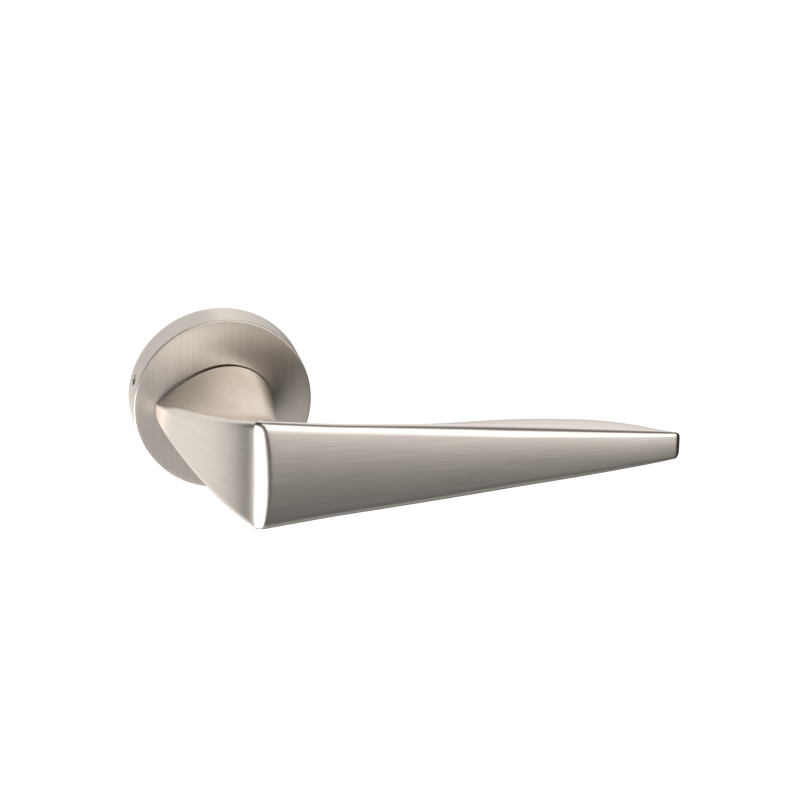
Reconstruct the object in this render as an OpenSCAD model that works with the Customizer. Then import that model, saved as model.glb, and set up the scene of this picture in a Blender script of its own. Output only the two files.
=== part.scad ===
// Door lever handle on a round rose, with its return-spring cassette and spindle.
// Frame: +Z up, the door's face is the plane y = 0 and the lever stands out along -Y.
// The spindle's axis is the Y axis, and the grip points along +X.
// Distances "out" are measured from the door's face towards the user.

/* [Rose] */
// Diameter of the round rose
rose_d = 50; // [48:0.5:54]
// Thickness of the rose, from the door to its front face
rose_t = 10; // [10:0.1:11]
// Wall thickness of the rose's rim
rim_wall = 2; // [2:0.1:2.4]
// Wall thickness of the rose's front plate
front_wall = 1.8; // [1.6:0.1:1.8]
// Small bevel round the rose's front edge
edge_bevel = 0.35; // [0.2:0.05:0.6]
// Angle of the cover's grub screw round the rim, from +X towards +Z
rose_screw_angle = 164; // [155:1:168]

/* [Lever] */
// How far the grip's front edges stand out from the door
projection = 62.6; // [58:0.2:66]
// Position of the grip's tip, from the spindle's axis
reach = 117.3; // [112:0.1:125]
// Half height of the grip at the elbow
elbow_half_h = 16.1; // [14:0.1:17]
// Half height of the grip at its tip
tip_half_h = 4.1; // [3.5:0.05:6]
// How much taller the grip is half way along than a straight taper, on each side
grip_belly = 0.5; // [0:0.1:1.2]
// Depth of the grip, front to back, just beyond the elbow
waist_depth = 13; // [11:0.1:16]
// Depth of the grip where it swells into the palm
palm_depth = 22.7; // [18:0.1:24]
// Depth of the grip at its tip, as a share of the palm's
tip_share = 0.29; // [0.2:0.01:0.4]
// Crown of the grip's front, as a share of its half height
crown = 0.06; // [0.03:0.01:0.15]
// Radius of the upright elbow edge at its middle
elbow_r = 5.9; // [3:0.1:7]
// Radius of the upright elbow edge at its top and bottom
elbow_end_r = 3; // [1:0.1:4]
// Size of the rounding along the grip's long edges
grip_edge = 2.8; // [1:0.1:3.2]
// Size of the rounding along the neck's ridges
neck_edge = 2; // [1:0.1:2.5]

/* [Neck] */
// Gap between the rose's front face and the neck
neck_gap = 0.8; // [0.5:0.05:1]
// How far the neck's nose reaches to the left of the spindle's axis
nose_x = 19; // [17:0.1:20]
// How far the neck reaches to the right of the spindle's axis
heel_x = 13.9; // [13:0.1:16]
// Half height of the nose where it meets the rose
nose_half_h = 1.9; // [1.5:0.1:3]

/* [Shank and bearing] */
// Diameter of the turned shank
shank_d = 18; // [17:0.5:18]
// Depth of the shank inside the neck
shank_depth = 18; // [14:1:20]
// Radial running clearance of the shank in its bushes
running = 0.05; // [0.02:0.01:0.1]

/* [Fixing] */
// Width across the flats of the square spindle
spindle_w = 8; // [7:1:8]
// How far the spindle stands out behind the door's face
spindle_out = 38; // [25:1:60]
// Distance between the two bolt sleeves
bolt_spacing = 38; // [38:0.1:38.2]
// Outer diameter of a bolt sleeve
sleeve_d = 7; // [6.5:0.1:7]
// Bore of a bolt sleeve
sleeve_bore = 4; // [3.3:0.1:4.2]
// How far a bolt sleeve stands out behind the door's face
sleeve_out = 7; // [3:0.5:12]

/* [Return spring] */
// Travel of the lever, from rest to its lower stop, in degrees
travel = 50; // [30:1:55]
// Mean radius of the spring's coil
coil_r = 12.6; // [12.4:0.1:12.8]
// Diameter of the spring's wire
wire_d = 1.1; // [0.9:0.1:1.2]
// Number of turns in the coil
coil_turns = 1.7; // [1.2:0.1:1.8]

/* [Hidden] */
$fn = 64;

// --- levels along the spindle's axis, as distances out from the door ---
rose_r = rose_d / 2;
neck_base = rose_t + neck_gap;
front_under = rose_t - front_wall;
web_low = 2.3;
web_high = 3.4;
wall_high = 6.9;
sleeve_high = 5.9;
lid_low = 7.0;
lid_high = 7.8;
rim_high = 7.9;
shank_back = -1;
slack = 0.05;

// --- radii ---
shank_r = shank_d / 2;
bore_r = shank_r + running;
bush_r = shank_r + 1.4;
front_bush_r = shank_r + 1.9;
front_flange_r = shank_r + 3;
cover_in_r = rose_r - rim_wall;
base_r = cover_in_r - 0.15;
rim_in_r = base_r - 1.95;
recess_r = 12.8;
chamber_in_r = 14;
chamber_out_r = 15.2;
driver_r = 11.4;

// --- small fasteners ---
rose_screw_out = rose_t * 0.47;
rose_screw_r = 1.5;
lid_screw_angles = [90, 210, 330];
lid_screw_ring = 17.7;
lid_screw_r = 1.25;
lid_head_r = 2.3;
lever_screw_out = 19.5;
lever_screw_r = 3;

// --- spring driver ---
lug_angle = 115;
lug_width = 20;
key_angle = 270;
key_w = 3;
key_depth = 1.4;
leg_slot_angle = 20;
leg_slot_w = 1.7;
wire_low = 4.1;
wire_pitch = wire_d + 0.1;
wire_high = wire_low + coil_turns * wire_pitch;
outer_leg_angle = leg_slot_angle + 360 * coil_turns;
anchor_r = 1;
anchor_ring = 17.3;

// --- lever outline in plan; each point is [x, distance out] ---
nose = [-nose_x, neck_base];
nose_pull = [-nose_x - 0.1, 19.4];
left_bow = [-10.4, projection - 12.6];
elbow = [0.5, projection];
heel = [heel_x, neck_base];
heel_pull = [heel_x - 3, 38];
armpit = [22, projection - waist_depth];
armpit_pull = [12, armpit[1]];
armpit_share = 0.8;
elbow_share = 0.04;
tip_run = 2.4;
tip_start = reach - tip_run;
tip_crowding = 1.7;
front_turn = 0.9;

// --- lever cross-section, as control heights of its upper curve ---
neck_swell = 20.3;
neck_shoulder = 8.2;
grip_swell = 0.69;
grip_shoulder = 0.36;
swell_at = 0.64;

// --- how finely the lever is drawn ---
neck_rings = 16;
elbow_rings = 5;
bend_rings = 7;
grip_rings = 16;
tip_rings = 6;
face_steps = 3;
edge_steps = 5;
top_steps = 10;

function mix(a, b, t) = a + (b - a) * t;
function clamp01(t) = min(1, max(0, t));
function smooth(t) = clamp01(t) * clamp01(t) * (3 - 2 * clamp01(t));

// Point on a quadratic curve through a and c, pulled towards b.
function bend2(a, b, c, t) =
  (1 - t) * (1 - t) * a + 2 * t * (1 - t) * b + t * t * c;

// Point on a cubic curve from a to d, pulled towards b and c.
function bend3(a, b, c, d, t) =
  pow(1 - t, 3) * a + 3 * t * pow(1 - t, 2) * b
  + 3 * t * t * (1 - t) * c + pow(t, 3) * d;

// Half height of the neck's left face at a distance out from the door.
function neck_half_h(out) =
  mix(nose_half_h, elbow_half_h, (out - neck_base) / (projection - neck_base));

// Half height of the grip at a distance x from the spindle's axis.
function grip_half_h(x) = let (s = (x - elbow[0]) / (reach - elbow[0]))
  mix(elbow_half_h, tip_half_h, s) + 4 * grip_belly * s * (1 - s);

// Depth of the grip for a share t of the way from the armpit to the tip.
function grip_depth(t) =
  mix(waist_depth, palm_depth, smooth(t / 0.6)) * (1 - (1 - tip_share) * pow(t, 8.3));

// The right side of the neck, in plan, as it bends into the grip's back.
function inner_bend(t) = bend3(heel, heel_pull, armpit_pull, armpit, t);

// The front is crowned: q is 0 at mid height and 1 at the long edges.
function bulge(h, q) = crown * h * (1 - q * q);

// The left face and the crowned front meet at the elbow, in a fillet that is widest
// at mid height.
left_dir = (elbow - left_bow) / norm(elbow - left_bow);
left_slope = atan2(left_dir[1], left_dir[0]);
function corner(q) = elbow + left_dir * bulge(elbow_half_h, q) / sin(left_slope);
function corner_r(q) = mix(elbow_end_r, elbow_r, 1 - pow(q, 4));
function corner_run(q) = corner_r(q) * tan(left_slope / 2);
face_end = elbow - corner_run(1) * left_dir;

// The outer face in plan, for a share t along each stretch and the height share q.
function neck_face(t, q) = bend3(nose, nose_pull, left_bow, face_end, t);
function elbow_face(t, q) = let (a = 90 + left_slope * (1 - t))
  corner(q) + [corner_run(q), -corner_r(q)] + corner_r(q) * [cos(a), sin(a)];
function bend_face(t, q, h) =
  [mix(corner(q)[0] + corner_run(q), armpit[0], t), projection + bulge(h, q)];
function grip_face(t, q, h) =
  [mix(armpit[0], tip_start, t), projection + bulge(h, q) - front_turn * pow(t, 8)];

// Height shares of the face's points, from mid height to the start of the edge rounding,
// and the edge itself.
function shares(h, edge) = concat([for (i = [0:face_steps]) (1 - edge / h) * i / face_steps], [1]);

function edge_size(size, h) = min(size, 0.3 * h);

// A station is [outer points in plan, inner point, half height, edge, swell, shoulder];
// g is 0 where the section is the neck's and 1 where it is the grip's.
function station(outer, inner, h, edge, g) = [
  outer, inner, h, edge,
  mix(neck_swell, grip_swell * h, smooth(g)), mix(neck_shoulder, grip_shoulder * h, smooth(g))
];
function neck_station(t) = let (
  h = neck_half_h(neck_face(t, 1)[1]),
  edge = edge_size(neck_edge, h)
) station([for (q = shares(h, edge)) neck_face(t, q)], inner_bend(armpit_share * t), h, edge, t);
function elbow_station(t) = let (
  h = elbow_half_h,
  edge = mix(neck_edge, grip_edge, t)
) station(
  [for (q = shares(h, edge)) elbow_face(t, q)],
  inner_bend(armpit_share + elbow_share * t), h, edge, 1
);
function bend_station(t) = let (
  h = mix(elbow_half_h, grip_half_h(armpit[0]), t)
) station(
  [for (q = shares(h, grip_edge)) bend_face(t, q, h)],
  inner_bend(mix(armpit_share + elbow_share, 1, t)), h, grip_edge, 1
);
function grip_station(t) = let (
  x = mix(armpit[0], tip_start, t),
  h = grip_half_h(x),
  edge = edge_size(grip_edge, h)
) station(
  [for (q = shares(h, edge)) grip_face(t, q, h)],
  [x, projection - grip_depth(t)], h, edge, 1
);

// The tip closes like a quarter of a rounded box beyond the last grip station, while its
// back runs on straight.
last_grip = grip_station(1);
tip_mid = mix(last_grip[0][face_steps + 1], last_grip[1], 0.45);
function tip_station(t) = let (
  shrink = pow(1 - pow(t, 2.6), 1 / 2.6),
  low = mix(1, shrink, 0.75),
  run = [tip_run * t, 0]
) [
  [for (p = last_grip[0]) mix(tip_mid, p, shrink) + run],
  mix(tip_mid, last_grip[1], 1 - t) + run,
  last_grip[2] * low, last_grip[3] * low, last_grip[4] * shrink, last_grip[5] * shrink
];

stations = concat(
  [for (i = [0:neck_rings - 1]) neck_station(i / neck_rings)],
  [for (i = [0:elbow_rings - 1]) elbow_station(i / elbow_rings)],
  [for (i = [0:bend_rings - 1]) bend_station(i / bend_rings)],
  [for (i = [0:grip_rings - 1]) grip_station(i / grip_rings)],
  [for (i = [0:tip_rings - 1]) tip_station(1 - pow(1 - i / tip_rings, tip_crowding))]
);

// A point of the frame from a point in plan and a height.
function lift(p, z) = [p[0], -p[1], z];

// Upper half of a section, from the middle of its outer face to its inner point.
function upper_half(s) = let (
  h = s[2],
  edge = s[3],
  corner = s[0][face_steps + 1],
  width = norm(s[1] - corner),
  top_from = min(0.2, edge / (3 * swell_at * width)),
  side = [for (i = [0:face_steps]) lift(s[0][i], (h - edge) * i / face_steps)]
) concat(
  [for (i = [0:face_steps - 1]) side[i]],
  [for (i = [0:edge_steps - 1])
    bend2(side[face_steps], lift(corner, h), top_point(s, top_from), i / edge_steps)],
  [for (i = [0:top_steps]) top_point(s, mix(top_from, 1, i / top_steps))]
);
function top_point(s, t) = let (
  corner = s[0][face_steps + 1],
  shape = bend3([0, s[2]], [swell_at, s[4]], [1, s[5]], [1, 0], t)
) lift(mix(corner, s[1], shape[0]), shape[1]);

// A closed ring of points in space for one station, the same above and below.
function ring(s) = let (
  upper = upper_half(s),
  count = len(upper)
) concat(upper, [for (i = [count - 2:-1:1]) [upper[i][0], upper[i][1], -upper[i][2]]]);

function middle(points) = [for (p = points) 1] * points / len(points);

// Closed skin through equal rings, with a flat cap fanned from the middle of each end.
module skin(rings) {
  n = len(rings[0]);
  m = len(rings);
  last = (m - 1) * n;
  hub = m * n;
  sides = [
    for (i = [0:m - 2]) for (j = [0:n - 1]) let (
      a = i * n + j,
      b = i * n + (j + 1) % n
    ) each [[a, b, a + n], [b, b + n, a + n]]
  ];
  caps = [
    for (j = [0:n - 1]) let (k = (j + 1) % n)
      each [[hub, k, j], [hub + 1, last + j, last + k]]
  ];
  points = concat([for (r = rings) each r], [middle(rings[0]), middle(rings[m - 1])]);
  polyhedron(points, concat(sides, caps));
}

// --- shared shapes ---
// Children drawn with +Z as "out" and +Y as "up" are turned into the handle's frame.
module outward() {
  rotate([90, 0, 0]) children();
}

// Ring between two radii and two levels.
module collar(in_r, out_r, low, high) {
  translate([0, 0, low]) difference() {
    cylinder(r = out_r, h = high - low);
    translate([0, 0, -1]) cylinder(r = in_r, h = high - low + 2);
  }
}

module post(r, low, high) {
  translate([0, 0, low]) cylinder(r = r, h = high - low);
}

// Wedge of a disc between two angles, used for lugs and slots.
module sector(r, from, to, low, high) {
  steps = 6;
  translate([0, 0, low]) linear_extrude(high - low)
    polygon(concat([[0, 0]], [
      for (i = [0:steps]) let (a = mix(from, to, i / steps)) r * [cos(a), sin(a)]
    ]));
}

module around(angles, ring_r) {
  for (a = angles) rotate([0, 0, a]) translate([ring_r, 0, 0]) children();
}

module hex_socket(across, low, high) {
  translate([0, 0, low]) cylinder(r = across / sqrt(3), h = high - low, $fn = 6);
}

// Grub screw along +Z, from its cup point at 0 to its socket end.
module grub_screw(r, length, socket) {
  difference() {
    union() {
      translate([0, 0, 0.4 * r]) cylinder(r = r, h = length - 0.4 * r);
      cylinder(r1 = 0.6 * r, r2 = r, h = 0.4 * r);
    }
    hex_socket(socket, length - 1.1 * r, length + 1);
  }
}

// --- lever group ---
// Cast grip and neck, bored from below the rose side for its shank.
module lever() {
  color("silver") difference() {
    skin([for (s = stations) ring(s)]);
    outward() post(shank_r, neck_base - 1, neck_base + shank_depth);
    translate([0, -lever_screw_out, -30]) cylinder(r = lever_screw_r, h = 26);
  }
}

// Turned shank with the square socket, the circlip groove and the driver's keyway.
module lever_shank() {
  groove_low = 0.25;
  groove_high = 1.15;
  socket_w = spindle_w + 0.1;
  top = neck_base + shank_depth;
  color("darkgray") outward() difference() {
    post(shank_r, shank_back, top);
    collar(shank_r - 0.6, shank_r + 1, groove_low, groove_high);
    translate([-socket_w / 2, -socket_w / 2, shank_back - 1])
      cube([socket_w, socket_w, top - shank_back - 2]);
    rotate([0, 0, key_angle]) translate([shank_r - key_depth, -key_w / 2, shank_back - 1])
      cube([key_depth + 1, key_w, wall_high - shank_back + 1]);
    translate([0, -spindle_w / 2, lever_screw_out]) rotate([90, 0, 0])
      cylinder(r = lever_screw_r, h = shank_r);
  }
}

module lever_grub_screw() {
  length = 7;
  color("dimgray") translate([0, -lever_screw_out, -spindle_w / 2 - slack])
    rotate([180, 0, 0]) grub_screw(lever_screw_r - slack, length, 3);
}

module spindle() {
  chamfer = 0.6;
  inner_end = neck_base + shank_depth - 4;
  half = spindle_w / 2;
  color("gray") outward() translate([0, 0, -spindle_out]) linear_extrude(inner_end + spindle_out)
    polygon([
      for (a = [0, 90, 180, 270]) each [
        [(half) * cos(a) - (half - chamfer) * sin(a), half * sin(a) + (half - chamfer) * cos(a)],
        [(half - chamfer) * cos(a) - half * sin(a), (half - chamfer) * sin(a) + half * cos(a)]
      ]
    ]);
}

module circlip() {
  gap_half = 14;
  ear_r = 1.15;
  ear_ring = shank_r + 1.1;
  low = 0.3;
  high = 1.1;
  color("slategray") outward() difference() {
    union() {
      difference() {
        collar(shank_r - 0.55, shank_r + 1.2, low, high);
        sector(30, 90 - gap_half, 90 + gap_half, low - 1, high + 1);
      }
      around([90 - gap_half - 3, 90 + gap_half + 3], ear_ring) post(ear_r, low, high);
    }
    around([90 - gap_half - 3, 90 + gap_half + 3], ear_ring + 0.1) post(0.5, low - 1, high + 1);
    post(shank_r - 0.55, low - 1, high + 1);
  }
}

// Spring washer with three waves, which takes up the end play.
module wave_washer() {
  in_r = shank_r + 0.3;
  out_r = shank_r + 2.6;
  middle = 1.45;
  wave = 0.14;
  thick = 0.3;
  steps = 48;
  function rim(a, r, z) = [r * cos(a), r * sin(a), middle + wave * sin(3 * a) + z];
  points = [
    for (i = [0:steps - 1]) let (a = 360 * i / steps) each [
      rim(a, in_r, -thick / 2), rim(a, out_r, -thick / 2),
      rim(a, out_r, thick / 2), rim(a, in_r, thick / 2)
    ]
  ];
  faces = [
    for (i = [0:steps - 1]) for (j = [0:3]) let (
      k = (i + 1) % steps,
      a = 4 * i + j,
      b = 4 * i + (j + 1) % 4,
      c = 4 * k + (j + 1) % 4,
      d = 4 * k + j
    ) each [[a, c, b], [a, d, c]]
  ];
  color("silver") outward() polyhedron(points, faces);
}

module thrust_washer() {
  color("gray") outward() collar(shank_r + running, recess_r - 0.6, 1.8, 2.2);
}

// Keyed ring that the lever turns, with a slot for the spring's inner leg and a stop lug.
module spring_driver() {
  low = web_high + 0.6;
  high = wall_high;
  color("lightslategray") outward() {
    difference() {
      collar(shank_r + slack, driver_r, low, high);
      rotate([0, 0, leg_slot_angle]) translate([shank_r, -leg_slot_w / 2, low - 1])
        cube([5, leg_slot_w, 1 + leg_slot_w]);
    }
    intersection() {
      collar(shank_r + 0.9, driver_r, high - 1, lid_high - 0.1);
      sector(20, lug_angle - lug_width / 2, lug_angle + lug_width / 2, high - 1, lid_high);
    }
    rotate([0, 0, key_angle]) translate([shank_r - key_depth + 0.1, slack - key_w / 2, low])
      cube([key_depth + 0.4, key_w - 2 * slack, high - low]);
  }
}

// --- return spring ---
// Points along the wire: inner leg, coil and outer leg.
leg_in = shank_r + 1.1;
leg_out = anchor_ring + 1.6;
coil_steps = 44;
function on_coil(t, r) = let (a = mix(leg_slot_angle, outer_leg_angle, t))
  [r * cos(a), r * sin(a), mix(wire_low + 0.6, wire_high, t)];
wire_path = concat(
  [on_coil(0, leg_in), on_coil(0, coil_r - 1), on_coil(0.006, coil_r - 0.3)],
  [for (i = [1:coil_steps - 1]) on_coil(i / coil_steps, coil_r)],
  [on_coil(0.994, coil_r + 0.3), on_coil(1, coil_r + 1), on_coil(1, leg_out)]
);
wire_sides = 8;
function wire_ring(i) = let (
  last = len(wire_path) - 1,
  ahead = wire_path[min(i + 1, last)],
  behind = wire_path[max(i - 1, 0)],
  dir = (ahead - behind) / norm(ahead - behind),
  flat = cross([0, 0, 1], dir) / norm(cross([0, 0, 1], dir)),
  up = cross(dir, flat)
) [for (j = [0:wire_sides - 1]) let (a = 360 * j / wire_sides)
    wire_path[i] + wire_d / 2 * (cos(a) * flat + sin(a) * up)];

module return_spring() {
  color("lightgray") outward() skin([for (i = [len(wire_path) - 1:-1:0]) wire_ring(i)]);
}

// --- rose group ---
module rose_cover() {
  color("silver") outward() difference() {
    rotate_extrude($fn = 128) polygon([
      [front_bush_r + slack, front_under + 0.45],
      [front_flange_r + 0.1, front_under + 0.45],
      [front_flange_r + 0.1, front_under],
      [cover_in_r, front_under],
      [cover_in_r, 0],
      [rose_r, 0],
      [rose_r, rose_t - edge_bevel],
      [rose_r - edge_bevel, rose_t],
      [front_bush_r + slack, rose_t]
    ]);
    rim_hole(rose_screw_r, cover_in_r - 2, rose_r + 1);
    rotate([0, 0, rose_screw_angle]) translate([rose_r - 0.3, 0, rose_screw_out])
      rotate([0, 90, 0]) cylinder(r1 = rose_screw_r, r2 = rose_screw_r + 0.5, h = 0.5);
  }
}

// Round hole or plug along the radius at the cover's grub screw.
module rim_hole(r, from, to) {
  rotate([0, 0, rose_screw_angle]) translate([from, 0, rose_screw_out])
    rotate([0, 90, 0]) cylinder(r = r, h = to - from);
}

module rose_grub_screw() {
  color("dimgray") outward() rotate([0, 0, rose_screw_angle])
    translate([rose_r - 4, 0, rose_screw_out]) rotate([0, 90, 0])
      grub_screw(rose_screw_r - slack, 3.2, 1.5);
}

// Thin dark washer in the gap between rose and neck.
module glide_washer() {
  color("black") outward() collar(bore_r, front_bush_r - 0.2, rose_t + slack, neck_base - 0.1);
}

module front_bush() {
  color("black") outward() {
    collar(bore_r, front_flange_r, lid_high + 0.15, front_under + 0.4);
    collar(bore_r, front_bush_r, front_under + 0.3, rose_t);
  }
}

// Moulded base that the cover snaps over, with the spring chamber and screw posts.
module base_plate() {
  color("dimgray") outward() difference() {
    intersection() {
      post(base_r, -1, rim_high + 1);
      base_blank();
    }
    post(bush_r, -1, web_high + 1);
    post(recess_r, -1, web_low);
    around([0, 180], bolt_spacing / 2) post(sleeve_d / 2, -1, sleeve_high);
    around(lid_screw_angles, lid_screw_ring) {
      post(lid_screw_r, web_low, wall_high + 1);
      translate([0, 0, wall_high - 0.15])
        cylinder(r1 = lid_screw_r, r2 = lid_screw_r + 0.5, h = 0.5);
    }
    around([outer_leg_angle - 5], anchor_ring) post(anchor_r, web_low, wall_high + 1);
    rotate([0, 0, outer_leg_angle]) translate([chamber_in_r - 1, -1.2, wire_high - 0.8])
      cube([8, 2.4, 3]);
    rim_hole(rose_screw_r + 0.1, rim_in_r - 1, base_r + 1);
    collar(base_r - 0.95, base_r + 1, 6.4, 7.6);
  }
}

module base_blank() {
  post(base_r, 0, web_high);
  collar(rim_in_r, base_r, web_high - 1, rim_high);
  collar(chamber_in_r, chamber_out_r, web_high - 1, wall_high);
  difference() {
    union() {
      around([0, 180], bolt_spacing / 2) post(sleeve_d / 2 + 1.2, web_high - 1, wall_high);
      around(lid_screw_angles, lid_screw_ring) post(2.7, web_high - 1, wall_high);
      around([outer_leg_angle - 5], anchor_ring) post(2, web_high - 1, wire_high - 1);
    }
    post(chamber_in_r, web_high, wall_high + 1);
  }
}

module rear_bush() {
  color("white") outward() {
    collar(bore_r, bush_r, web_low, web_high + 0.2);
    collar(bore_r, bush_r + 1.2, web_high, web_high + 0.5);
  }
}

// Steel lid of the spring chamber; its curved slot stops the driver's lug both ways.
module cassette_lid() {
  margin = 0.6;
  color("lightgray") outward() difference() {
    post(rim_in_r - 0.2, lid_low, lid_high);
    post(shank_r + 0.6, lid_low - 1, lid_high + 1);
    intersection() {
      post(driver_r + 0.5, lid_low - 1, lid_high + 1);
      sector(30, lug_angle - lug_width / 2 - travel - margin, lug_angle + lug_width / 2 + margin,
        lid_low - 1, lid_high + 1);
    }
    around(lid_screw_angles, lid_screw_ring) {
      post(lid_screw_r + 0.1, lid_low - 1, lid_high + 1);
      translate([0, 0, lid_low]) cylinder(r1 = 1.6, r2 = lid_head_r + 0.1, h = lid_high - lid_low);
    }
  }
}

module lid_screws() {
  color("silver") outward() around(lid_screw_angles, lid_screw_ring) difference() {
    union() {
      post(lid_screw_r - 0.02, web_high, lid_high - 0.1);
      translate([0, 0, lid_low]) cylinder(r1 = 1.5, r2 = lid_head_r, h = lid_high - lid_low - 0.02);
    }
    translate([-3, -0.3, lid_high - 0.45]) cube([6, 0.6, 1]);
  }
}

module anchor_pin() {
  color("silver") outward() around([outer_leg_angle - 5], anchor_ring)
    post(anchor_r, web_low, wall_high);
}

// Threaded brass sleeves for the bolts that come through the door.
module bolt_sleeves() {
  color("goldenrod") outward() around([0, 180], bolt_spacing / 2) difference() {
    post(sleeve_d / 2, -sleeve_out, sleeve_high);
    post(sleeve_bore / 2, -sleeve_out - 1, sleeve_high - 1.4);
  }
}

module cover_o_ring() {
  color("black") outward() translate([0, 0, 7]) rotate_extrude($fn = 96)
    translate([base_r - 0.45, 0]) circle(r = 0.48, $fn = 24);
}

lever();
lever_shank();
lever_grub_screw();
spindle();
circlip();
wave_washer();
thrust_washer();
spring_driver();
return_spring();
rose_cover();
rose_grub_screw();
glide_washer();
front_bush();
base_plate();
rear_bush();
cassette_lid();
lid_screws();
anchor_pin();
bolt_sleeves();
cover_o_ring();
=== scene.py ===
# Door lever handle on a round rose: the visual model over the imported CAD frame.
# The scene is in metres and the shapes' numbers are in millimetres. +Z is up, the door's face
# is y = 0, the lever stands out along -Y and its grip points along +X.
import math

import bpy
import numpy as np
from mathutils import Matrix, Vector


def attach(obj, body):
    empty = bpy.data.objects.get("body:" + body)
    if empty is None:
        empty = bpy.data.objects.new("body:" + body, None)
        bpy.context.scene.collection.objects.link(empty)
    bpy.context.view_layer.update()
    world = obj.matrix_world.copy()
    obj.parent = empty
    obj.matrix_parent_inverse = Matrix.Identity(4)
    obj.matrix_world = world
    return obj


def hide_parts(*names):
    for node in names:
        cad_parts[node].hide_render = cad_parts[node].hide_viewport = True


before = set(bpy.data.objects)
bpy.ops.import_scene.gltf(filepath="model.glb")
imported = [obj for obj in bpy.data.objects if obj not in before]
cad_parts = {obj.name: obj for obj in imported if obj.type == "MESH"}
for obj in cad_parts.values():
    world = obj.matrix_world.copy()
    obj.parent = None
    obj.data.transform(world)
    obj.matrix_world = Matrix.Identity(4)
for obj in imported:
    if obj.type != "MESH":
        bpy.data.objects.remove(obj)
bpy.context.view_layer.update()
MM = 0.001

# ---------------------------------------------------------------- camera
CAMERA_AZIMUTH = -13.0
CAMERA_ELEVATION = 21.92
CAMERA_ROLL = 1.05
CAMERA_TARGET = Vector((50.05, -12.12, -1.42)) * MM
CAMERA_DISTANCE = 982.9 * MM
CAMERA_LENS = 157.5


def make_camera():
    azimuth, elevation = math.radians(CAMERA_AZIMUTH), math.radians(CAMERA_ELEVATION)
    roll = math.radians(CAMERA_ROLL)
    out = math.cos(elevation)
    back = Vector((math.sin(azimuth) * out, -math.cos(azimuth) * out, math.sin(elevation)))
    level = Vector((math.cos(azimuth), math.sin(azimuth), 0))
    upright = back.cross(level)
    right = level * math.cos(roll) + upright * math.sin(roll)
    up = back.cross(right)
    data = bpy.data.cameras.new("camera")
    data.lens = CAMERA_LENS
    data.sensor_width = 36
    data.clip_start, data.clip_end = 0.05, 50
    camera = bpy.data.objects.new("camera", data)
    bpy.context.scene.collection.objects.link(camera)
    place = CAMERA_TARGET + back * CAMERA_DISTANCE
    camera.matrix_world = Matrix((
        (right.x, up.x, back.x, place.x),
        (right.y, up.y, back.y, place.y),
        (right.z, up.z, back.z, place.z),
        (0, 0, 0, 1),
    ))
    bpy.context.scene.camera = camera


# ---------------------------------------------------------------- shader helpers
class Graph:
    """Short calls for building one node tree."""

    def __init__(self, tree):
        self.tree = tree
        tree.nodes.clear()

    def node(self, kind, **settings):
        made = self.tree.nodes.new(kind)
        for name, value in settings.items():
            setattr(made, name, value)
        return made

    def link(self, out, into):
        self.tree.links.new(out, into)

    def feed(self, socket, value):
        if isinstance(value, bpy.types.NodeSocket):
            self.link(value, socket)
        else:
            socket.default_value = value

    def math(self, operation, *values):
        made = self.node("ShaderNodeMath", operation=operation)
        for socket, value in zip(made.inputs, values):
            self.feed(socket, value)
        return made.outputs[0]

    def scaled(self, vector, scale, offset=(0, 0, 0)):
        made = self.node("ShaderNodeMapping")
        self.link(vector, made.inputs["Vector"])
        made.inputs["Scale"].default_value = scale
        made.inputs["Location"].default_value = offset
        return made.outputs[0]

    def noise(self, vector, scale, detail, rough, distortion=0.0):
        made = self.node("ShaderNodeTexNoise")
        self.link(vector, made.inputs["Vector"])
        made.inputs["Scale"].default_value = scale
        made.inputs["Detail"].default_value = detail
        made.inputs["Roughness"].default_value = rough
        made.inputs["Distortion"].default_value = distortion
        return made.outputs["Fac"]

    def span(self, value, low, high, to_low, to_high, smooth=False):
        made = self.node("ShaderNodeMapRange")
        if smooth:
            made.interpolation_type = "SMOOTHSTEP"
        ends = {"From Min": low, "From Max": high, "To Min": to_low, "To Max": to_high}
        for name, number in ends.items():
            self.feed(made.inputs[name], number)
        self.link(value, made.inputs["Value"])
        return made.outputs["Result"]

    def blend(self, share, first, second):
        made = self.node("ShaderNodeMix", data_type="RGBA")
        self.feed(made.inputs[0], share)
        self.feed(made.inputs[6], first)
        self.feed(made.inputs[7], second)
        return made.outputs[2]

    def bump(self, height, strength, distance, normal=None):
        made = self.node("ShaderNodeBump")
        made.inputs["Strength"].default_value = strength
        made.inputs["Distance"].default_value = distance
        self.link(height, made.inputs["Height"])
        if normal is not None:
            self.link(normal, made.inputs["Normal"])
        return made.outputs["Normal"]

    def white(self, kind, strength):
        """A shader that gives off white light."""
        made = self.node(kind)
        made.inputs["Color"].default_value = rgb(1, 1, 1)
        self.feed(made.inputs["Strength"], strength)
        return made.outputs[0]

    def choose(self, test, first, second):
        """The first shader where the test is 0 and the second where it is 1."""
        made = self.node("ShaderNodeMixShader")
        for socket, source in zip(made.inputs, (test, first, second)):
            self.link(source, socket)
        return made.outputs[0]


def rgb(red, green, blue):
    """A scene-linear colour."""
    return (red, green, blue, 1.0)


def new_material(name):
    material = bpy.data.materials.new(name)
    material.use_nodes = True
    return material, Graph(material.node_tree)


def close_material(graph, shader):
    out = graph.node("ShaderNodeOutputMaterial")
    graph.link(shader, out.inputs["Surface"])


def edge_mask(graph, width):
    """A mask that is 1 along sharp edges, within that width, and 0 elsewhere, and the normal
    rounded over those edges."""
    bevel = graph.node("ShaderNodeBevel", samples=6)
    bevel.inputs["Radius"].default_value = width
    plain = graph.node("ShaderNodeNewGeometry").outputs["Normal"]
    dot = graph.node("ShaderNodeVectorMath", operation="DOT_PRODUCT")
    graph.link(bevel.outputs["Normal"], dot.inputs[0])
    graph.link(plain, dot.inputs[1])
    return graph.span(dot.outputs["Value"], 0.995, 0.93, 0.0, 1.0), bevel.outputs["Normal"]


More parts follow.
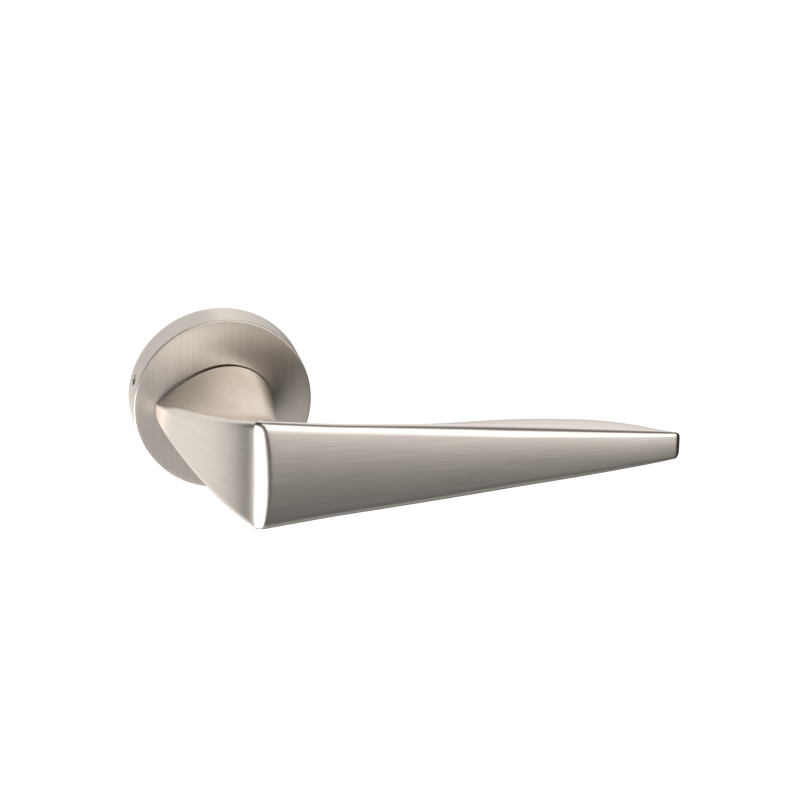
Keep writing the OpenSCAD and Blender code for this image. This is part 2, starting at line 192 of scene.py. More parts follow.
SATIN = rgb(0.800, 0.732, 0.660)
EDGE_HIGHLIGHT_TONE = 0.06 * 0.25      # how much lighter, and
WORN_POLISH = 0.08 * 0.25    # how much lighter its colour is, a painted edge highlight, and how much smoother the brushed metal is along its edges
QUARTER_TURN = 0.25          # turns the highlights' spread across the brush lines
BUMP_DEPTH = 0.02 * MM       # depth of brush lines and tool marks
PIT_DEPTH = 0.03 * MM        # depth of the eroded surface of moulded pieces


def brushed(name, rough=0.30, aniso=0.6, grain=1.0):
    """Satin-brushed nickel. Brush lines run along the UV map's first axis, in metres."""
    material, g = new_material(name)
    coords = g.node("ShaderNodeTexCoord").outputs["UV"]
    lines = g.noise(g.scaled(coords, (90, 3200, 1)), 1.0, 3.0, 0.6)
    long_lines = g.noise(g.scaled(coords, (40, 1500, 1), (3.1, 7.7, 0)), 1.0, 2.0, 0.5)
    fine = g.noise(g.scaled(coords, (300, 9000, 1), (9.3, 1.7, 0)), 1.0, 2.0, 0.6)
    cloud = g.noise(g.scaled(coords, (45, 45, 1), (5.0, 2.0, 0)), 1.0, 3.0, 0.5)
    brush = g.math("ADD", g.math("MULTIPLY", lines, 0.5), g.math("MULTIPLY", long_lines, 0.5))
    mask, _ = edge_mask(g, 0.5 * MM)
    shader = g.node("ShaderNodeBsdfPrincipled")
    tone = g.span(brush, 0.32, 0.68, 1.0 - 0.09 * grain, 1.0 + 0.07 * grain)
    tone = g.math("MULTIPLY", tone, g.span(cloud, 0.3, 0.7, 0.985, 1.01))
    # painted edge highlight: the colour is made lighter along the edges
    tone = g.math("ADD", tone, g.math("MULTIPLY", mask, EDGE_HIGHLIGHT_TONE))
    tint = g.node("ShaderNodeVectorMath", operation="SCALE")
    tint.inputs[0].default_value = SATIN[:3]
    g.link(tone, tint.inputs["Scale"])
    g.link(tint.outputs[0], shader.inputs["Base Color"])
    shader.inputs["Metallic"].default_value = 1.0
    roughness = g.span(brush, 0.3, 0.7, rough - 0.012 * grain, rough + 0.012 * grain)
    roughness = g.math("SUBTRACT", roughness, g.math("MULTIPLY", mask, WORN_POLISH))
    g.link(roughness, shader.inputs["Roughness"])
    shader.inputs["Anisotropic"].default_value = aniso
    shader.inputs["Anisotropic Rotation"].default_value = QUARTER_TURN
    tangent = g.node("ShaderNodeTangent", direction_type="UV_MAP", uv_map="UVMap")
    g.link(tangent.outputs[0], shader.inputs["Tangent"])
    height = g.math("ADD", g.math("MULTIPLY", lines, 0.35), g.math("MULTIPLY", fine, 0.65))
    g.link(g.bump(height, 0.02 * grain, BUMP_DEPTH), shader.inputs["Normal"])
    close_material(g, shader.outputs[0])
    return material


def position(g):
    """x, y and z of a point in its piece's own coordinates, in metres."""
    parts = g.node("ShaderNodeSeparateXYZ")
    g.link(g.node("ShaderNodeTexCoord").outputs["Object"], parts.inputs[0])
    return parts.outputs


def joined(g, x, y, z):
    made = g.node("ShaderNodeCombineXYZ")
    for socket, value in zip(made.inputs, (x, y, z)):
        g.feed(socket, value)
    return made.outputs[0]


def machined(name, colour, rough, work, axis_x=0.0, tarnish=0.15, wear=0.5, aniso=0.3, lines=3000):
    """Bare or plated metal with its tool marks: "turned" round the Y axis, "drawn" along it,
    or "rolled" sheet. Where axis_x is given, it is turned round two axes at plus and minus x."""
    material, g = new_material(name)
    x, y, z = position(g)
    if work == "turned":
        side = g.math("SUBTRACT", g.math("ABSOLUTE", x), axis_x) if axis_x else x
        square = g.math("ADD", g.math("MULTIPLY", side, side), g.math("MULTIPLY", z, z))
        radius = g.math("SQRT", square)
        axes, scales = (radius, y, x), (lines, lines, 30)
    elif work == "drawn":
        axes, scales = (x, y, z), (lines, 30, lines)
    else:
        axes, scales = (x, y, z), (lines, lines, 60)
    marks_at = joined(g, *(g.math("MULTIPLY", axis, scale) for axis, scale in zip(axes, scales)))
    marks = g.noise(marks_at, 1.0, 3.0, 0.6)
    whole = g.node("ShaderNodeTexCoord").outputs["Object"]
    cloud = g.noise(whole, 180, 4.0, 0.6)
    spots = g.noise(whole, 1600, 2.0, 0.5)
    mask, rounded = edge_mask(g, 0.25 * MM)
    dull = tuple(c * 0.72 for c in colour[:3]) + (1.0,)
    bright = tuple(min(1.0, c * 1.16) for c in colour[:3]) + (1.0,)
    shade = g.blend(g.span(cloud, 0.42, 0.72, 0.0, tarnish), colour, dull)
    shade = g.blend(g.span(spots, 0.62, 0.75, 0.0, tarnish * 0.6), shade, dull)
    shade = g.blend(g.math("MULTIPLY", mask, wear), shade, bright)
    shader = g.node("ShaderNodeBsdfPrincipled")
    g.link(shade, shader.inputs["Base Color"])
    shader.inputs["Metallic"].default_value = 1.0
    shader.inputs["Anisotropic"].default_value = aniso
    rough_marks = g.span(marks, 0.3, 0.7, rough - 0.06, rough + 0.06)
    rough_now = g.math("ADD", rough_marks, g.span(cloud, 0.35, 0.75, 0.0, 0.10))
    rough_now = g.math("SUBTRACT", rough_now, g.math("MULTIPLY", mask, 0.1 * wear))
    g.link(rough_now, shader.inputs["Roughness"])
    if work == "turned":
        tangent = g.node("ShaderNodeTangent", direction_type="RADIAL", axis="Y")
        g.link(tangent.outputs[0], shader.inputs["Tangent"])
    g.link(g.bump(marks, 0.25, BUMP_DEPTH, rounded), shader.inputs["Normal"])
    close_material(g, shader.outputs[0])
    return material


def moulded(name, colour, rough, grain, specular=0.5, wear=0.5, subsurface=0.0):
    """Moulded plastic with an eroded surface, slightly shinier and paler along its edges."""
    material, g = new_material(name)
    whole = g.node("ShaderNodeTexCoord").outputs["Object"]
    pits = g.noise(whole, 5200, 2.0, 0.5)
    flow = g.noise(g.scaled(whole, (60, 60, 160)), 1.0, 3.0, 0.5, 0.6)
    cloud = g.noise(whole, 120, 3.0, 0.5)
    mask, rounded = edge_mask(g, 0.3 * MM)
    pale = tuple(min(1.0, c * 1.35 + 0.02) for c in colour[:3]) + (1.0,)
    deep = tuple(c * 0.82 for c in colour[:3]) + (1.0,)
    shade = g.blend(g.span(cloud, 0.35, 0.7, 0.0, 1.0), colour, deep)
    shade = g.blend(g.math("MULTIPLY", g.span(flow, 0.45, 0.65, 0.0, 1.0), 0.18), shade, pale)
    shade = g.blend(g.math("MULTIPLY", mask, wear * 0.5), shade, pale)
    shader = g.node("ShaderNodeBsdfPrincipled")
    g.link(shade, shader.inputs["Base Color"])
    shader.inputs["Specular IOR Level"].default_value = specular
    if subsurface:
        shader.inputs["Subsurface Weight"].default_value = subsurface
        shader.inputs["Subsurface Radius"].default_value = (1.0, 0.9, 0.8)
        shader.inputs["Subsurface Scale"].default_value = 0.8 * MM
    rough_pits = g.span(pits, 0.3, 0.7, rough - 0.05, rough + 0.07)
    rough_now = g.math("ADD", rough_pits, g.span(cloud, 0.3, 0.7, -0.03, 0.05))
    rough_now = g.math("SUBTRACT", rough_now, g.math("MULTIPLY", mask, 0.12 * wear))
    g.link(rough_now, shader.inputs["Roughness"])
    g.link(g.bump(pits, 0.22 * grain, PIT_DEPTH, rounded), shader.inputs["Normal"])
    close_material(g, shader.outputs[0])
    return material


# ---------------------------------------------------------------- mesh helpers
def make_piece(name, points, faces, sharp_from=35):
    """A mesh piece from points in millimetres, smooth except at edges sharper than an angle."""
    data = bpy.data.meshes.new(name)
    data.from_pydata([Vector(p) * MM for p in points], [], faces)
    data.update()
    piece = bpy.data.objects.new(name, data)
    bpy.context.scene.collection.objects.link(piece)
    soften(piece, sharp_from)
    return piece


def soften(piece, angle):
    for face in piece.data.polygons:
        face.use_smooth = True
    piece.data.set_sharp_from_angle(angle=math.radians(angle))


# ---------------------------------------------------------------- the lever's skin
# The same curves as the CAD lever's, in millimetres, sampled more finely. Along each part of
# the lever t runs from 0 to 1. Up its front face q runs from 0 in the middle to 1 at the edge.
# Points in the plan are (x, out).
ROSE_R, ROSE_T, NECK_GAP = 25.0, 10.0, 0.8
PROJECTION, REACH = 62.6, 117.3
ELBOW_H, TIP_H, BELLY = 16.1, 4.1, 0.5
WAIST_DEPTH, PALM_DEPTH, TIP_SHARE = 13.0, 22.7, 0.29
CROWN, ELBOW_R, ELBOW_END_R = 0.06, 5.9, 3.0
GRIP_EDGE, NECK_EDGE = 2.8, 2.0
NOSE_X, HEEL_X, NOSE_H = 19.0, 13.9, 1.9
NECK_BASE = ROSE_T + NECK_GAP

NOSE = np.array((-NOSE_X, NECK_BASE))
NOSE_PULL = np.array((-NOSE_X - 0.1, 19.4))
LEFT_BOW = np.array((-10.4, PROJECTION - 12.6))
ELBOW = np.array((0.5, PROJECTION))
HEEL = np.array((HEEL_X, NECK_BASE))
HEEL_PULL = np.array((HEEL_X - 3, 38.0))
ARMPIT = np.array((22.0, PROJECTION - WAIST_DEPTH))
ARMPIT_PULL = np.array((12.0, ARMPIT[1]))
ARMPIT_SHARE, ELBOW_SHARE = 0.8, 0.04
TIP_RUN = 2.4          # the rounded end beyond the last full section
TIP_START = REACH - TIP_RUN
TIP_LAST = 0.9524      # the last ring's place in that end, closed flat there
FRONT_TURN = 0.9       # how far the front face falls back at the tip
PALM_AT = 0.6          # where along the grip it is as deep as the palm
TIP_TAPER, FRONT_TAPER = 8.3, 8    # how late the back and the front turn in to the tip
NECK_SWELL, NECK_SHOULDER = 20.3, 8.2
GRIP_SWELL, GRIP_SHOULDER, SWELL_AT = 0.69, 0.36, 0.64

EDGE_LIMIT = 0.3       # an edge's size is at most this share of the half height
MAX_EDGE_SHARE = 0.2   # and its round takes at most this share of the top's curve
# The tip closes over its last ring's outline as a superellipse of this power, towards this
# share of its depth, and its height follows the outline by that share.
TIP_POWER, TIP_MIDDLE, TIP_THINNING = 2.6, 0.45, 0.75

# Rings along the lever, how much they crowd together at the tip, and points round half a ring.
NECK_RINGS, ELBOW_RINGS, BEND_RINGS, GRIP_RINGS, TIP_RINGS = 64, 20, 24, 80, 16
TIP_CROWDING = 1.7
FACE_STEPS, EDGE_STEPS, TOP_STEPS = 14, 6, 38


def mix(a, b, t):
    return a + (b - a) * t


def smooth(t):
    t = min(1.0, max(0.0, t))
    return t * t * (3 - 2 * t)


def bend2(a, b, c, t):
    return (1 - t) ** 2 * a + 2 * t * (1 - t) * b + t * t * c


def bend3(a, b, c, d, t):
    return (1 - t) ** 3 * a + 3 * t * (1 - t) ** 2 * b + 3 * t * t * (1 - t) * c + t ** 3 * d


LEFT_DIR = (ELBOW - LEFT_BOW) / np.linalg.norm(ELBOW - LEFT_BOW)
LEFT_SLOPE = math.atan2(LEFT_DIR[1], LEFT_DIR[0])


def neck_half_h(out):
    return mix(NOSE_H, ELBOW_H, (out - NECK_BASE) / (PROJECTION - NECK_BASE))


def grip_half_h(x):
    s = (x - ELBOW[0]) / (REACH - ELBOW[0])
    return mix(ELBOW_H, TIP_H, s) + 4 * BELLY * s * (1 - s)


def grip_depth(t):
    return mix(WAIST_DEPTH, PALM_DEPTH, smooth(t / PALM_AT)) * (1 - (1 - TIP_SHARE) * t ** TIP_TAPER)


def inner_bend(t):
    return bend3(HEEL, HEEL_PULL, ARMPIT_PULL, ARMPIT, t)


def bulge(h, q):
    return CROWN * h * (1 - q * q)


def corner(q):
    return ELBOW + LEFT_DIR * bulge(ELBOW_H, q) / math.sin(LEFT_SLOPE)


def corner_r(q):
    return mix(ELBOW_END_R, ELBOW_R, 1 - q ** 4)


def corner_run(q):
    return corner_r(q) * math.tan(LEFT_SLOPE / 2)


FACE_END = ELBOW - corner_run(1) * LEFT_DIR


def neck_face(t):
    return bend3(NOSE, NOSE_PULL, LEFT_BOW, FACE_END, t)


def elbow_face(t, q):
    a = math.radians(90) + LEFT_SLOPE * (1 - t)
    r = corner_r(q)
    return corner(q) + np.array((corner_run(q), -r)) + r * np.array((math.cos(a), math.sin(a)))


def bend_face(t, q, h):
    return np.array((mix(corner(q)[0] + corner_run(q), ARMPIT[0], t), PROJECTION + bulge(h, q)))


def grip_face(t, q, h):
    x = mix(ARMPIT[0], TIP_START, t)
    return np.array((x, PROJECTION + bulge(h, q) - FRONT_TURN * t ** FRONT_TAPER))


def shares(h, edge):
    return [(1 - edge / h) * i / FACE_STEPS for i in range(FACE_STEPS + 1)] + [1.0]


def edge_size(size, h):
    return min(size, EDGE_LIMIT * h)


def station(outer, inner, h, edge, g):
    """A section: its front face's points, its inner point, its half height, the size of its
    edges and the heights of the back's swell and shoulder. g is 0 on the neck, 1 on the grip."""
    swell = mix(NECK_SWELL, GRIP_SWELL * h, smooth(g))
    shoulder = mix(NECK_SHOULDER, GRIP_SHOULDER * h, smooth(g))
    return outer, inner, h, edge, swell, shoulder


def neck_station(t):
    point = neck_face(t)    # the neck's face isn't crowned, so it is one point in the plan
    h = neck_half_h(point[1])
    face = [point] * (FACE_STEPS + 2)
    return station(face, inner_bend(ARMPIT_SHARE * t), h, edge_size(NECK_EDGE, h), t)


def elbow_station(t):
    edge = mix(NECK_EDGE, GRIP_EDGE, t)
    face = [elbow_face(t, q) for q in shares(ELBOW_H, edge)]
    return station(face, inner_bend(ARMPIT_SHARE + ELBOW_SHARE * t), ELBOW_H, edge, 1)


def bend_station(t):
    h = mix(ELBOW_H, grip_half_h(ARMPIT[0]), t)
    face = [bend_face(t, q, h) for q in shares(h, GRIP_EDGE)]
    inner = inner_bend(mix(ARMPIT_SHARE + ELBOW_SHARE, 1, t))
    return station(face, inner, h, GRIP_EDGE, 1)


def grip_station(t):
    x = mix(ARMPIT[0], TIP_START, t)
    h = grip_half_h(x)
    edge = edge_size(GRIP_EDGE, h)
    face = [grip_face(t, q, h) for q in shares(h, edge)]
    return station(face, np.array((x, PROJECTION - grip_depth(t))), h, edge, 1)


def tip_station(t):
    outer, inner, h, edge, swell, shoulder = grip_station(1)
    middle = mix(outer[FACE_STEPS + 1], inner, TIP_MIDDLE)
    shrink = (1 - t ** TIP_POWER) ** (1 / TIP_POWER)
    low = mix(1, shrink, TIP_THINNING)
    run = np.array((TIP_RUN * t, 0))
    face = [mix(middle, p, shrink) + run for p in outer]
    inner = mix(middle, inner, 1 - t) + run
    return face, inner, h * low, edge * low, swell * shrink, shoulder * shrink


def lift(p, z):
    return np.array((p[0], -p[1], z))


def top_point(s, t):
    """A point on the section's top, from the front edge (t = 0) to the inner point."""
    outer, inner, h, _, swell, shoulder = s
    curve = ((0, h), (SWELL_AT, swell), (1, shoulder), (1, 0))
    depth, height = bend3(*(np.array(p) for p in curve), t)
    return lift(mix(outer[FACE_STEPS + 1], inner, depth), height)


def upper_half(s):
    """The section's points from the middle of its front face, over the top, to the inner point."""
    outer, inner, h, edge = s[:4]
    sharp_edge = outer[FACE_STEPS + 1]
    width = np.linalg.norm(inner - sharp_edge)
    top_from = min(MAX_EDGE_SHARE, edge / (3 * SWELL_AT * width))
    side = [lift(outer[i], (h - edge) * i / FACE_STEPS) for i in range(FACE_STEPS + 1)]
    ends = side[-1], lift(sharp_edge, h), top_point(s, top_from)
    points = side[:-1]
    points += [bend2(*ends, i / EDGE_STEPS) for i in range(EDGE_STEPS)]
    points += [top_point(s, mix(top_from, 1, i / TOP_STEPS)) for i in range(TOP_STEPS + 1)]
    return points


def lever_rings():
    parts = ((neck_station, NECK_RINGS), (elbow_station, ELBOW_RINGS),
             (bend_station, BEND_RINGS), (grip_station, GRIP_RINGS))
    stations = [part(i / count) for part, count in parts for i in range(count)]
    for i in range(TIP_RINGS + 1):
        stations.append(tip_station(TIP_LAST * (1 - (1 - i / TIP_RINGS) ** TIP_CROWDING)))
    rings = []
    for s in stations:
        upper = upper_half(s)
        lower = [p * (1, 1, -1) for p in upper[-2:0:-1]]
        rings.append(np.array(upper + lower))
    return np.array(rings)


def make_lever():
    rings = lever_rings()
    m, n = rings.shape[:2]
    points = [tuple(p) for p in rings.reshape(-1, 3)]
    faces = []
    for i in range(m - 1):
        for j in range(n):
            a, b = i * n + j, i * n + (j + 1) % n
            faces.append((a, b, b + n, a + n))
    # both ends are closed by fans round their middles
    points += (tuple(rings[0].mean(0)), tuple(rings[-1].mean(0)))
    for j in range(n):
        k = (j + 1) % n
        faces.append((m * n, k, j))
        faces.append((m * n + 1, (m - 1) * n + j, (m - 1) * n + k))
    lever = make_piece("lever_body", points, faces, 50)
    map_brushing(lever.data, rings)
    return lever


def map_brushing(data, rings):
    """The lever's UV map: u runs along it and v round it, both in metres. On its lower half v
    is counted backwards from the middle of the front face, and the seam is on the inside."""
    m, n = rings.shape[:2]
    half = n // 2
    along = np.linalg.norm(np.diff(rings[:, FACE_STEPS // 2], axis=0), axis=1)
    along = np.concatenate([[0], np.cumsum(along)]) * MM
    girth = np.linalg.norm(np.diff(np.concatenate([rings, rings[:, :1]], 1), axis=1), axis=2)
    girth = np.concatenate([np.zeros((m, 1)), np.cumsum(girth, 1)], 1) * MM
    layer = data.uv_layers.new(name="UVMap")
    for face in data.polygons:
        corners = [(index, data.loops[index].vertex_index) for index in face.loop_indices]
        below = any(v < m * n and v % n > half for _, v in corners)
        for index, v in corners:
            if v >= m * n:
                co = data.vertices[v].co
                layer.data[index].uv = (co.x, co.z)
                continue
            i, j = divmod(v, n)
            around = girth[i][j]
            if j > half or (j == half and below):
                around -= girth[i][n]
            layer.data[index].uv = (along[i], around)


# ---------------------------------------------------------------- cutting and turning
# Turns +Z into "out" (-Y) and +Y into "up" (+Z), as the CAD does.
OUTWARD = Matrix.Rotation(math.radians(90), 4, "X")


def turned(name, profile, steps):
    """Closed ring turned from (radius, out) points in millimetres, facing outwards."""
    n = len(profile)
    points, faces = [], []
    for i in range(steps):
        a = 2 * math.pi * i / steps
        points += [OUTWARD @ Vector((r * math.cos(a), r * math.sin(a), out)) for r, out in profile]
    for i in range(steps):
        k = (i + 1) % steps
        for j in range(n):
            l = (j + 1) % n
            faces.append((i * n + j, k * n + j, k * n + l, i * n + l))
    return make_piece(name, points, faces)


def post(r, low, high, steps=96, turn=OUTWARD):
    """Solid cylinder between two distances out, in millimetres, used as a cutter."""
    points = []
    for end in (low, high):
        for i in range(steps):
            a = 2 * math.pi * i / steps
            points.append(turn @ Vector((r * math.cos(a), r * math.sin(a), end)))
    faces = [tuple(range(steps))[::-1], tuple(range(steps, 2 * steps))]
    faces += [(i, (i + 1) % steps, steps + (i + 1) % steps, steps + i) for i in range(steps)]
    return make_piece("cutter", points, faces)


def cut(piece, *cutters):
    """Takes the cutters out of the piece and removes them."""
    for cutter in cutters:
        step = piece.modifiers.new("cut", "BOOLEAN")
        step.operation = "DIFFERENCE"
        step.solver = "EXACT"
        step.object = cutter
    depsgraph = bpy.context.evaluated_depsgraph_get()
    result = bpy.data.meshes.new_from_object(piece.evaluated_get(depsgraph))
    piece.modifiers.clear()
    piece.data = result
    for cutter in cutters:
        bpy.data.objects.remove(cutter)


def rounded_corner(corner, before, after, size, steps):
    """Points of a small round at a corner, starting and ending at a distance from it."""
    c, a, b = (np.array(p, float) for p in (corner, before, after))
    start = c + (a - c) / np.linalg.norm(a - c) * size
    end = c + (b - c) / np.linalg.norm(b - c) * size
    return [tuple(bend2(start, c, end, i / steps)) for i in range(steps + 1)]


# ---------------------------------------------------------------- rose cover
COVER_STEPS = 360                        # round the axis
RIM_WALL, FRONT_WALL = 2.0, 1.8
BORE_R, STEP_R, STEP_H = 10.95, 12.1, 0.45
FRONT_ROUND, BORE_ROUND, BACK_BEVEL = 0.42, 0.2, 0.15
EDGE_STRIP = 0.45                        # the front's rings keep this far from its edge,
RIM_STRIP = 0.4                          # and the rim's rings this far
SCREW_R, SCREW_ANGLE, SCREW_OUT = 1.5, 164, 0.47 * ROSE_T    # the hole in the rim


def make_rose_cover():
    inner, under = ROSE_R - RIM_WALL, ROSE_T - FRONT_WALL
    profile = [(BORE_R, under + STEP_H), (STEP_R, under + STEP_H), (STEP_R, under), (inner, under)]
    profile += [(inner, BACK_BEVEL), (inner + BACK_BEVEL, 0)]
    profile += [(ROSE_R - BACK_BEVEL, 0), (ROSE_R, BACK_BEVEL)]
    profile += [(ROSE_R, mix(BACK_BEVEL, ROSE_T - RIM_STRIP, i / 8)) for i in range(1, 8)]
    profile += rounded_corner((ROSE_R, ROSE_T), (ROSE_R, 0), (0, ROSE_T), FRONT_ROUND, 7)
    profile += [(mix(ROSE_R - EDGE_STRIP, BORE_R + BORE_ROUND, i / 10), ROSE_T) for i in range(1, 10)]
    profile += rounded_corner((BORE_R, ROSE_T), (ROSE_R, ROSE_T), (BORE_R, 0), BORE_ROUND, 3)
    cover = turned("rose_cover_shell", profile, COVER_STEPS)
    screw_turn = OUTWARD @ Matrix.Rotation(math.radians(SCREW_ANGLE), 4, "Z")
    screw_turn @= Matrix.Translation((0, 0, SCREW_OUT)) @ Matrix.Rotation(math.radians(90), 4, "Y")
    cut(cover, post(SCREW_R, inner - 2, ROSE_R + 1, 64, screw_turn))
    # Both faces are brushed from top to bottom and the rim round the axis.
    layer = cover.data.uv_layers.new(name="UVMap")
    for face in cover.data.polygons:
        front = abs(face.normal.y) > 0.8
        centre = math.atan2(face.center.z, face.center.x)
        for index in face.loop_indices:
            co = cover.data.vertices[cover.data.loops[index].vertex_index].co
            if front:
                layer.data[index].uv = (co.z, co.x)
            else:
                angle = math.atan2(co.z, co.x)
                angle += 2 * math.pi * round((centre - angle) / (2 * math.pi))
                layer.data[index].uv = (angle * ROSE_R * MM, co.y)
        face.material_index = 0 if front else 1
    soften(cover, 40)
    return cover


# ---------------------------------------------------------------- stage and world
FLOOR_REACH, FLOOR_HEIGHT = 4000, -160    # millimetres
WHITE_LEVEL = 1.1                         # of everything the camera sees round the lever
ROOM_LEVEL = 0.02                         # of the light from everywhere, before the panels


def make_stage():
    """A white floor that is seen only by the camera and only from above."""
    sides = ((-1, -1), (1, -1), (1, 1), (-1, 1))
    points = [(x * FLOOR_REACH, y * FLOOR_REACH, FLOOR_HEIGHT) for x, y in sides]
    floor = make_piece("floor", points, [(0, 1, 2, 3)])
    material, g = new_material("floor_paper")
    clear = g.node("ShaderNodeBsdfTransparent").outputs[0]
    backfacing = g.node("ShaderNodeNewGeometry").outputs["Backfacing"]
    close_material(g, g.choose(backfacing, g.white("ShaderNodeEmission", WHITE_LEVEL), clear))
    floor.data.materials.append(material)
    floor.visible_glossy = False
    floor.visible_diffuse = False
    floor.visible_shadow = False


class Studio:
    """A studio's walls and panels as a function of direction, in degrees: azimuth 0 is straight
    in front of the lever and 90 on its nose side; elevation 0 is level."""

    def __init__(self, graph):
        self.g = graph
        parts = graph.node("ShaderNodeSeparateXYZ")
        graph.link(graph.node("ShaderNodeTexCoord").outputs["Generated"], parts.inputs[0])
        left = graph.math("MULTIPLY", parts.outputs["X"], -1.0)
        front = graph.math("MULTIPLY", parts.outputs["Y"], -1.0)
        self.azimuth = graph.math("MULTIPLY", graph.math("ARCTAN2", left, front), math.degrees(1))
        rise = graph.math("ARCSINE", parts.outputs["Z"])
        self.elevation = graph.math("MULTIPLY", rise, math.degrees(1))
        self.total = ROOM_LEVEL

    def step(self, value, at, soft):
        return self.g.span(value, at - soft, at + soft, 0.0, 1.0, smooth=True)

    def turn_from(self, azimuth):
        """The turn round the horizon from an azimuth, between -180 and 180."""
        turn = self.g.math("ADD", self.azimuth, 540.0 - azimuth)
        return self.g.math("SUBTRACT", self.g.math("MODULO", turn, 360.0), 180.0)

    def panel(self, strength, azimuths, elevations, soft):
        """A rectangular patch of light. "soft" gives its edges' half widths, both ways."""
        g = self.g
        middle = (azimuths[0] + azimuths[1]) / 2
        half = (azimuths[1] - azimuths[0]) / 2
        away = g.math("ABSOLUTE", self.turn_from(middle))
        across = g.math("SUBTRACT", 1.0, self.step(away, half, soft[0]))
        up = self.step(self.elevation, elevations[0], soft[1])
        down = g.math("SUBTRACT", 1.0, self.step(self.elevation, elevations[1], soft[1]))
        self.add(g.math("MULTIPLY", g.math("MULTIPLY", across, up), g.math("MULTIPLY", down, strength)))

    def round_panel(self, strength, azimuth, elevation, half_width, half_height, soft):
        """An elliptical patch of light. "soft" is a share of its size."""
        g = self.g
        across = g.math("DIVIDE", self.turn_from(azimuth), half_width)
        up = g.math("DIVIDE", g.math("SUBTRACT", self.elevation, elevation), half_height)
        square = g.math("ADD", g.math("MULTIPLY", across, across), g.math("MULTIPLY", up, up))
        inside = g.math("SUBTRACT", 1.0, self.step(g.math("SQRT", square), 1.0, soft))
        self.add(g.math("MULTIPLY", inside, strength))

    def add(self, patch):
        self.total = self.g.math("ADD", self.total, patch)


def make_world():
    world = bpy.data.worlds.new("studio")
    bpy.context.scene.world = world
    world.use_nodes = True
    g = Graph(world.node_tree)
    studio = Studio(g)
    # A nearly dark room with a pale wall behind, and softboxes in front and on the nose side.
    # The panels are written after a fit of light directions to the photo's reflections,
    # so a highlight that agrees with the photo doesn't prove the shape under it.
    studio.panel(0.86, (110, 184), (0, 64), (18, 8))          # pale wall behind
    studio.panel(0.86, (110, 168), (-30, 0), (18, 8))         # its lower part on the nose side
    studio.panel(1.05, (184, 224), (-6, 64), (12, 8))         # its lit right end
    studio.panel(1.00, (106, 168), (-56, -28), (14, 6))       # pale floor behind on the nose side
    studio.panel(0.60, (-70, 60), (-92, -58), (20, 8))        # pale floor right below
    studio.panel(0.45, (95, 265), (62, 92), (25, 8))          # pale ceiling behind
    studio.panel(0.08, (172, 262), (-92, -26), (14, 10))      # dim floor behind on the tip's side
    studio.panel(1.6, (-48, -6), (-7, 36), (8, 6))            # softbox in front, above the horizon
    studio.panel(1.0, (-48, -5), (-7, 14), (9, 6))            # its brighter lower part
    studio.panel(1.5, (-26, 14), (30, 60), (8, 8))            # a smaller one over the camera
    studio.panel(0.75, (-24, -14), (-12, -5), (3, 4))         # bright floor under the softbox
    studio.panel(0.22, (-40, -17), (-26, -8), (7, 8))         # its glow nearer the camera
    studio.round_panel(3.4, 54, -38, 38, 31, 0.18)            # softbox low on the nose side
    lit = g.white("ShaderNodeBackground", studio.total)
    plain = g.white("ShaderNodeBackground", WHITE_LEVEL)
    camera_ray = g.node("ShaderNodeLightPath").outputs["Is Camera Ray"]
    out = g.node("ShaderNodeOutputWorld")
    g.link(g.choose(camera_ray, lit, plain), out.inputs["Surface"])
    world.cycles.sampling_method = "MANUAL"
    world.cycles.sample_map_resolution = 1024


# ---------------------------------------------------------------- put it together
make_camera()
make_world()
make_stage()

POCKET_R, POCKET_DEPTH = 9.0, 18       # for the shank, in the back of the neck
SCREW_HOLE_R, SCREW_HOLE_OUT = 3.0, 19.5    # for the clamping screw, from below


def dress(piece, *materials):
    piece.data.materials.clear()
    for material in materials:
        piece.data.materials.append(material)


lever_body = make_lever()
shank_pocket = post(POCKET_R, NECK_BASE - 1, NECK_BASE + POCKET_DEPTH)
screw_up = Matrix.Translation((0, -SCREW_HOLE_OUT, -30))    # starts below the neck
cut(lever_body, shank_pocket, post(SCREW_HOLE_R, 0, 26, 64, screw_up))
dress(lever_body, brushed("satin_nickel_lever"))
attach(lever_body, "lever_set")
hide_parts("lever")

rose_cover = make_rose_cover()
satin_face = brushed("satin_nickel_face", rough=0.37, aniso=0.8)
dress(rose_cover, satin_face, brushed("satin_nickel_rim", grain=0.6, aniso=0.4))
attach(rose_cover, "rose")
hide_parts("rose_cover")

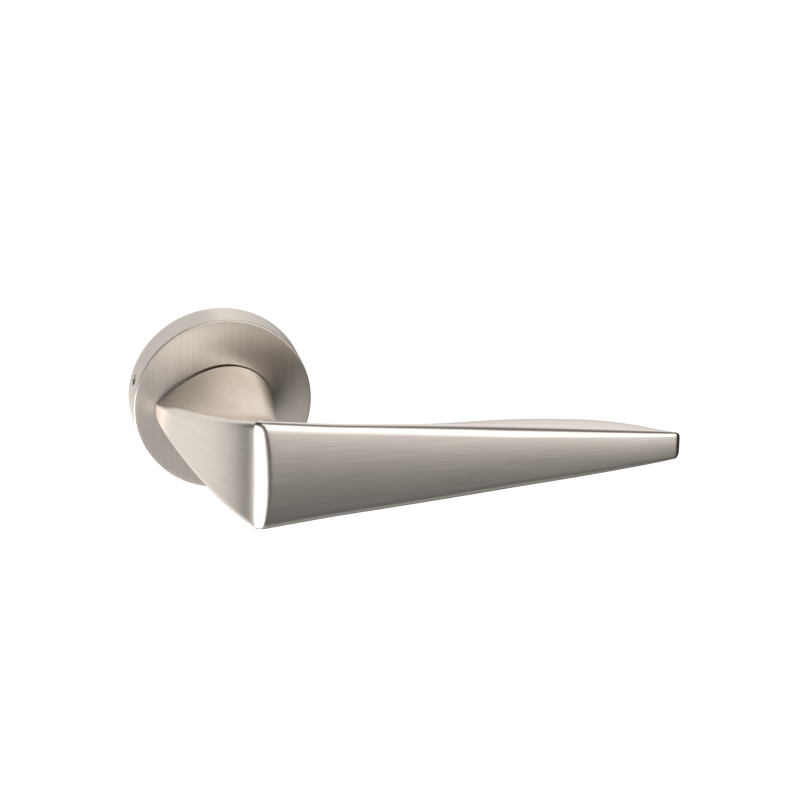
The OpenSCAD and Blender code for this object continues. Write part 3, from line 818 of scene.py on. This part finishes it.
ZINC = rgb(0.60, 0.605, 0.60)
FINISHES = {
    "lever_shank": machined("turned_steel", rgb(0.56, 0.55, 0.53), 0.30, "turned"),
    "lever_grub_screw": machined("black_oxide_screw", rgb(0.075, 0.075, 0.08), 0.38, "turned",
                                 tarnish=0.3, wear=0.8),
    "rose_grub_screw": machined("black_oxide_small_screw", rgb(0.085, 0.085, 0.09), 0.36, "turned",
                                tarnish=0.3, wear=0.8),
    "spindle": machined("zinc_plated_bar", ZINC, 0.34, "drawn", tarnish=0.3, aniso=0.4),
    "circlip": machined("phosphated_spring_steel", rgb(0.13, 0.13, 0.135), 0.42, "rolled", tarnish=0.35),
    "wave_washer": machined("blued_spring_steel", rgb(0.30, 0.31, 0.33), 0.33, "rolled", tarnish=0.25),
    "thrust_washer": machined("stamped_steel", rgb(0.55, 0.55, 0.55), 0.32, "turned"),
    "spring_driver": machined("sintered_steel", rgb(0.33, 0.33, 0.335), 0.48, "rolled",
                              tarnish=0.4, lines=900),
    "return_spring": machined("spring_wire", rgb(0.50, 0.50, 0.51), 0.28, "drawn", tarnish=0.2),
    "cassette_lid": machined("zinc_plated_sheet", rgb(0.58, 0.59, 0.60), 0.36, "rolled", tarnish=0.3),
    "lid_screws": machined("zinc_plated_screw", rgb(0.60, 0.60, 0.61), 0.30, "turned", tarnish=0.2),
    "anchor_pin": machined("ground_pin", rgb(0.57, 0.57, 0.58), 0.25, "drawn", tarnish=0.1),
    "bolt_sleeves": machined("turned_brass", rgb(0.72, 0.50, 0.22), 0.30, "turned",
                             axis_x=19 * MM, tarnish=0.35),
    "glide_washer": moulded("black_glide_washer", rgb(0.012, 0.012, 0.012), 0.45, 0.5),
    "front_bush": moulded("grey_bush", rgb(0.030, 0.030, 0.032), 0.42, 0.6),
    "rear_bush": moulded("white_bush", rgb(0.72, 0.71, 0.67), 0.38, 0.6, subsurface=0.15),
    "base_plate": moulded("black_nylon", rgb(0.020, 0.020, 0.021), 0.46, 1.2),
    "cover_o_ring": moulded("black_rubber", rgb(0.014, 0.014, 0.014), 0.60, 0.7,
                            specular=0.35, wear=0.1),
}
for name, finish in FINISHES.items():
    dress(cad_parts[name], finish)

bpy.context.scene.view_settings.view_transform = "Standard"
